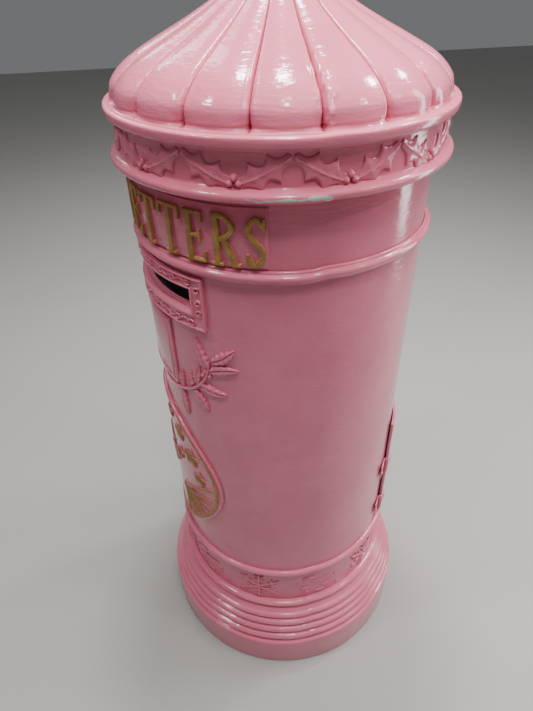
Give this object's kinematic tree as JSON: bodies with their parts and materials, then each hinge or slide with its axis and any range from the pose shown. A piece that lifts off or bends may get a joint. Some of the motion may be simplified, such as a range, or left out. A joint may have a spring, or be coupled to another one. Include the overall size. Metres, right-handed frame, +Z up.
{
  "type": "post box",
  "caption": "Round free-standing decorative pillar post box with a curved letter slot, a hinged rear collection door with a cam lock, and a lobed domed cap.",
  "frame": {"origin": "on the floor at the centre of the round plinth", "axes": "+Z up along the pillar's axis, -Y out of the letter slot at the front, +X to the box's own left, which is the viewer's right when facing the slot"},
  "size_m": [0.4132, 0.4132, 1.0426],
  "materials": {
    "pink_gloss_paint": "glossy pink paint over moulded resin, with light brush marks, worn edges and one bare chip on the upper ring",
    "antique_gold_paint": "hand-painted dull antique gold on raised work",
    "zinc_plated_steel": "zinc plated",
    "lock_brass": "turned and lightly tarnished",
    "galvanised_sheet": "dull folded sheet with a faint spangle",
    "seal_rubber": "matt closed-cell foam strip",
    "birch_ply": "unpainted plywood"
  },
  "bodies": {
    "pillar": {"base_plinth": "pink_gloss_paint", "body_shell": "pink_gloss_paint", "foot_ring": "pink_gloss_paint", "base_bead": "pink_gloss_paint", "belt_ring": "pink_gloss_paint", "cap_cornice": "pink_gloss_paint", "cap_dome": "pink_gloss_paint", "finial_collar": "pink_gloss_paint", "finial_ball": "pink_gloss_paint", "slot_frame": "pink_gloss_paint", "notice_panel": "pink_gloss_paint", "text_plate": "pink_gloss_paint", "medallion_plate": "pink_gloss_paint", "sprig_right": "pink_gloss_paint", "sprig_left": "pink_gloss_paint", "floor_ledge": "pink_gloss_paint", "letter_01_C": "antique_gold_paint", "letter_02_A": "antique_gold_paint", "letter_03_R": "antique_gold_paint", "letter_04_D": "antique_gold_paint", "letter_05_S": "antique_gold_paint", "letter_06_and": "antique_gold_paint", "letter_07_L": "antique_gold_paint", "letter_08_E": "antique_gold_paint", "letter_09_T": "antique_gold_paint", "letter_10_T": "antique_gold_paint", "letter_11_E": "antique_gold_paint", "letter_12_R": "antique_gold_paint", "letter_13_S": "antique_gold_paint", "medallion_rim": "antique_gold_paint", "medallion_star": "antique_gold_paint", "medallion_fan_right": "antique_gold_paint", "medallion_fan_left": "antique_gold_paint", "plinth_screw_1": "zinc_plated_steel", "plinth_screw_2": "zinc_plated_steel", "plinth_screw_3": "zinc_plated_steel", "cap_screw_1": "zinc_plated_steel", "cap_screw_2": "zinc_plated_steel", "cap_screw_3": "zinc_plated_steel", "finial_stud": "zinc_plated_steel", "finial_nut": "zinc_plated_steel", "flap_pin": "zinc_plated_steel", "hinge_leaf_wall_upper": "zinc_plated_steel", "hinge_leaf_wall_lower": "zinc_plated_steel", "hinge_pin_upper": "zinc_plated_steel", "hinge_pin_lower": "zinc_plated_steel", "lock_keeper": "zinc_plated_steel", "letter_chute": "galvanised_sheet", "flap_bracket_right": "galvanised_sheet", "flap_bracket_left": "galvanised_sheet", "door_gasket": "seal_rubber", "letter_floor": "birch_ply"},
    "flap": {"slot_flap": "galvanised_sheet"},
    "door": {"rear_door": "pink_gloss_paint", "hinge_leaf_door_upper": "zinc_plated_steel", "hinge_leaf_door_lower": "zinc_plated_steel", "lock_body": "lock_brass"},
    "lock": {"lock_plug": "lock_brass", "lock_cam": "zinc_plated_steel"}
  },
  "joints": [
    {"name": "flap_swing", "type": "hinge", "parent": "pillar", "child": "flap", "pos_m": [0, -0.098, 0.709], "axis": [1, 0, 0], "range_deg": [0, 70]},
    {"name": "door_swing", "type": "hinge", "parent": "pillar", "child": "door", "pos_m": [0.09372, 0.14542, 0.325], "axis": [0, 0, -1], "range_deg": [0, 110]},
    {"name": "lock_turn", "type": "hinge", "parent": "door", "child": "lock", "pos_m": [-0.05994, 0.14835, 0.325], "axis": [-0.3746, 0.9272, 0], "range_deg": [0, 90]}
  ]
}
